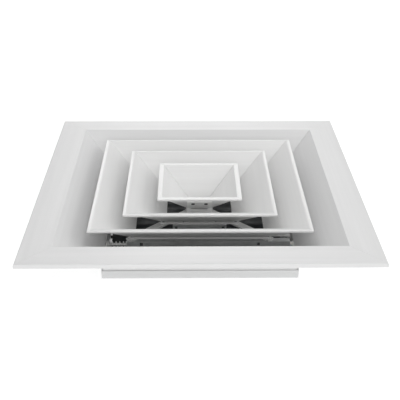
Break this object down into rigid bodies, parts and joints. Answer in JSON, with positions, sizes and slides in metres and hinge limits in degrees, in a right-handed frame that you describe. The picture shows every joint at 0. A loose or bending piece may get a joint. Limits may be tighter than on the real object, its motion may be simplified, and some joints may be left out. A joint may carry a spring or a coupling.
{
  "type": "ceiling air diffuser",
  "caption": "Square ceiling air diffuser with nested louvre cones in a flanged frame, a lift-out core held by spring plungers, and an opposed blade damper in the neck.",
  "frame": {"origin": "centre of the underside of the damper frame", "axes": "+Z towards the room side of the flange, +X along the damper blades towards the linkage, -Y the front"},
  "size_m": [0.395, 0.395, 0.073],
  "materials": {
    "powder_white": "semi-gloss white powder coat on extruded aluminium",
    "damper_white": "white powder coat on extruded aluminium",
    "nylon_black": "black nylon",
    "blade_black": "matt black coat on extruded aluminium",
    "spring_steel": "bright spring wire",
    "zinc_steel": "zinc-plated steel",
    "nylon_white": "natural nylon",
    "rivet_steel": "dark steel rivet",
    "channel_grey": "grey coated channel",
    "mill_aluminium": "mill-finish aluminium"
  },
  "bodies": {
    "frame": {"core_rest_clips": "mill_aluminium", "damper_back": "damper_white", "damper_front": "damper_white", "damper_left": "damper_white", "damper_right": "damper_white", "damper_screws": "zinc_steel", "frame_back": "powder_white", "frame_corner_keys": "mill_aluminium", "frame_front": "powder_white", "frame_left": "powder_white", "frame_right": "powder_white", "pivot_bushes": "nylon_white"},
    "core": {"bar_back": "channel_grey", "bar_front": "channel_grey", "brace_back": "channel_grey", "brace_front": "channel_grey", "centre_plate": "mill_aluminium", "centre_saddle": "mill_aluminium", "cone_corner_keys": "mill_aluminium", "core_rivets": "rivet_steel", "fixed_pins": "zinc_steel", "inner_cone_back": "powder_white", "inner_cone_front": "powder_white", "inner_cone_left": "powder_white", "inner_cone_right": "powder_white", "middle_cone_back": "powder_white", "middle_cone_front": "powder_white", "middle_cone_left": "powder_white", "middle_cone_right": "powder_white", "outer_cone_back": "powder_white", "outer_cone_front": "powder_white", "outer_cone_left": "powder_white", "outer_cone_right": "powder_white", "pin_tips": "nylon_white", "plunger_spring_back": "spring_steel", "plunger_spring_front": "spring_steel", "strap_falling": "mill_aluminium", "strap_rising": "mill_aluminium"},
    "plunger_front": {"plunger_front": "zinc_steel"},
    "plunger_back": {"plunger_back": "zinc_steel"},
    "linkage": {"linkage_bar": "mill_aluminium", "damper_lever": "mill_aluminium", "lever_rivet": "zinc_steel"},
    "blade_1": {"blade_1": "blade_black", "blade_caps_1": "nylon_black"},
    "blade_2": {"blade_2": "blade_black", "blade_caps_2": "nylon_black"},
    "blade_3": {"blade_3": "blade_black", "blade_caps_3": "nylon_black"},
    "blade_4": {"blade_4": "blade_black", "blade_caps_4": "nylon_black"},
    "blade_5": {"blade_5": "blade_black", "blade_caps_5": "nylon_black"},
    "blade_6": {"blade_6": "blade_black", "blade_caps_6": "nylon_black"},
    "blade_7": {"blade_7": "blade_black", "blade_caps_7": "nylon_black"},
    "blade_8": {"blade_8": "blade_black", "blade_caps_8": "nylon_black"}
  },
  "joints": [
    {"name": "core_lift", "type": "slide", "parent": "frame", "child": "core", "axis": [0, 0, 1], "range_m": [0, 0.06]},
    {"name": "plunger_front_press", "type": "slide", "parent": "core", "child": "plunger_front", "axis": [1, 0, 0], "range_m": [0, 0.006], "stiffness_N_per_m": 300, "springref_m": -0.01, "deforming": ["plunger_spring_front"]},
    {"name": "plunger_back_press", "type": "slide", "parent": "core", "child": "plunger_back", "axis": [1, 0, 0], "range_m": [0, 0.006], "stiffness_N_per_m": 300, "springref_m": -0.01, "deforming": ["plunger_spring_back"]},
    {"name": "linkage_slide", "type": "slide", "parent": "frame", "child": "linkage", "axis": [0, 1, 0], "range_m": [0, 0.0106]},
    {"name": "blade_1_pivot", "type": "hinge", "parent": "frame", "child": "blade_1", "pos_m": [0, -0.0973, 0.014], "axis": [1, 0, 0], "range_deg": [-90, 0]},
    {"name": "blade_2_pivot", "type": "hinge", "parent": "frame", "child": "blade_2", "pos_m": [0, -0.0695, 0.014], "axis": [1, 0, 0], "range_deg": [0, 90]},
    {"name": "blade_3_pivot", "type": "hinge", "parent": "frame", "child": "blade_3", "pos_m": [0, -0.0417, 0.014], "axis": [1, 0, 0], "range_deg": [-90, 0]},
    {"name": "blade_4_pivot", "type": "hinge", "parent": "frame", "child": "blade_4", "pos_m": [0, -0.0139, 0.014], "axis": [1, 0, 0], "range_deg": [0, 90]},
    {"name": "blade_5_pivot", "type": "hinge", "parent": "frame", "child": "blade_5", "pos_m": [0, 0.0139, 0.014], "axis": [1, 0, 0], "range_deg": [-90, 0]},
    {"name": "blade_6_pivot", "type": "hinge", "parent": "frame", "child": "blade_6", "pos_m": [0, 0.0417, 0.014], "axis": [1, 0, 0], "range_deg": [0, 90]},
    {"name": "blade_7_pivot", "type": "hinge", "parent": "frame", "child": "blade_7", "pos_m": [0, 0.0695, 0.014], "axis": [1, 0, 0], "range_deg": [-90, 0]},
    {"name": "blade_8_pivot", "type": "hinge", "parent": "frame", "child": "blade_8", "pos_m": [0, 0.0973, 0.014], "axis": [1, 0, 0], "range_deg": [0, 90]}
  ],
  "couplings": [
    {"joint": "blade_1_pivot", "follows": "linkage_slide", "rad_per_m": -148.18},
    {"joint": "blade_2_pivot", "follows": "linkage_slide", "rad_per_m": 148.18},
    {"joint": "blade_3_pivot", "follows": "linkage_slide", "rad_per_m": -148.18},
    {"joint": "blade_4_pivot", "follows": "linkage_slide", "rad_per_m": 148.18},
    {"joint": "blade_5_pivot", "follows": "linkage_slide", "rad_per_m": -148.18},
    {"joint": "blade_6_pivot", "follows": "linkage_slide", "rad_per_m": 148.18},
    {"joint": "blade_7_pivot", "follows": "linkage_slide", "rad_per_m": -148.18},
    {"joint": "blade_8_pivot", "follows": "linkage_slide", "rad_per_m": 148.18}
  ]
}
